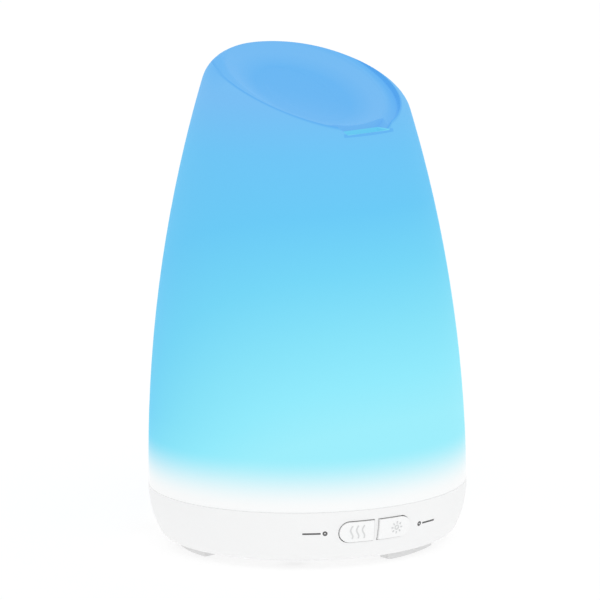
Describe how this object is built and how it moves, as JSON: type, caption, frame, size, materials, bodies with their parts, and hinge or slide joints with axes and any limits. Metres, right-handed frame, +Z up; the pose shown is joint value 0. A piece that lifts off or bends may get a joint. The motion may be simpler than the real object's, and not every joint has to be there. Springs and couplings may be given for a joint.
{
  "type": "cool mist humidifier",
  "caption": "Ultrasonic cool mist humidifier: frosted lit cover with slanted dished top and mist slot, white base with two push buttons.",
  "frame": {"origin": "on the floor under the middle of the base", "axes": "+Z up, -Y towards the mist slot at the low side of the slanted top"},
  "size_m": [0.0894, 0.0898, 0.1385],
  "materials": {
    "frosted_cover": "frosted translucent shell, lit from inside",
    "white_case": "fine satin moulded",
    "white_button": "satin gloss moulded",
    "tank_plastic": "smooth moulded",
    "silicone": "soft matt",
    "foot_rubber": "soft matt",
    "steel": "plated",
    "disc_metal": "plated ceramic disc",
    "circuit_board": "solder mask",
    "black_plastic": "moulded",
    "copper_coil": "enamelled wire",
    "sleeve_plastic": "shrunk sleeve",
    "heat_sink_metal": "extruded",
    "connector_plastic": "moulded",
    "lamp_resin": "clear lamp resin"
  },
  "bodies": {
    "base": {"base_shell": "white_case", "bottom_cover": "white_case", "foot_pads": "foot_rubber", "case_screws": "steel", "water_tank": "tank_plastic", "water_level_pins": "steel", "tank_gasket": "silicone", "tact_switches": "black_plastic", "switch_board": "circuit_board", "piezo_disc": "disc_metal", "piezo_seal": "silicone", "piezo_retainer": "steel", "retainer_screws": "steel", "fan_housing": "black_plastic", "fan_screws": "steel", "air_duct": "tank_plastic", "main_board": "circuit_board", "board_screws": "steel", "inductor": "copper_coil", "capacitor": "sleeve_plastic", "heat_sink": "heat_sink_metal", "transistor": "black_plastic", "control_chip": "black_plastic", "board_connectors": "connector_plastic", "led_board": "circuit_board", "leds": "lamp_resin", "dc_jack": "black_plastic"},
    "cover": {"cover": "frosted_cover"},
    "inner_lid": {"inner_lid": "tank_plastic"},
    "light_button": {"light_button": "white_button", "light_plunger": "black_plastic"},
    "mist_button": {"mist_button": "white_button", "mist_plunger": "black_plastic"},
    "fan_rotor": {"fan_rotor": "black_plastic"}
  },
  "joints": [
    {"name": "cover_lift", "type": "slide", "parent": "base", "child": "cover", "axis": [0, 0, 1], "range_m": [0, 0.16]},
    {"name": "inner_lid_lift", "type": "slide", "parent": "base", "child": "inner_lid", "axis": [0, 0, 1], "range_m": [0, 0.08]},
    {"name": "light_button_press", "type": "slide", "parent": "base", "child": "light_button", "axis": [0.3469, 0.9379, 0], "range_m": [0, 0.0006], "stiffness_N_per_m": 1200, "springref_m": -0.0006},
    {"name": "mist_button_press", "type": "slide", "parent": "base", "child": "mist_button", "axis": [0.0958, 0.9954, 0], "range_m": [0, 0.0006], "stiffness_N_per_m": 1200, "springref_m": -0.0006},
    {"name": "fan_spin", "type": "hinge", "parent": "base", "child": "fan_rotor", "pos_m": [0.01189, 0.01215, 0.0075], "axis": [0, 0, 1], "continuous": true}
  ],
  "couplings": [
    {"joint": "inner_lid_lift", "follows": "cover_lift", "ratio": 0.5}
  ]
}
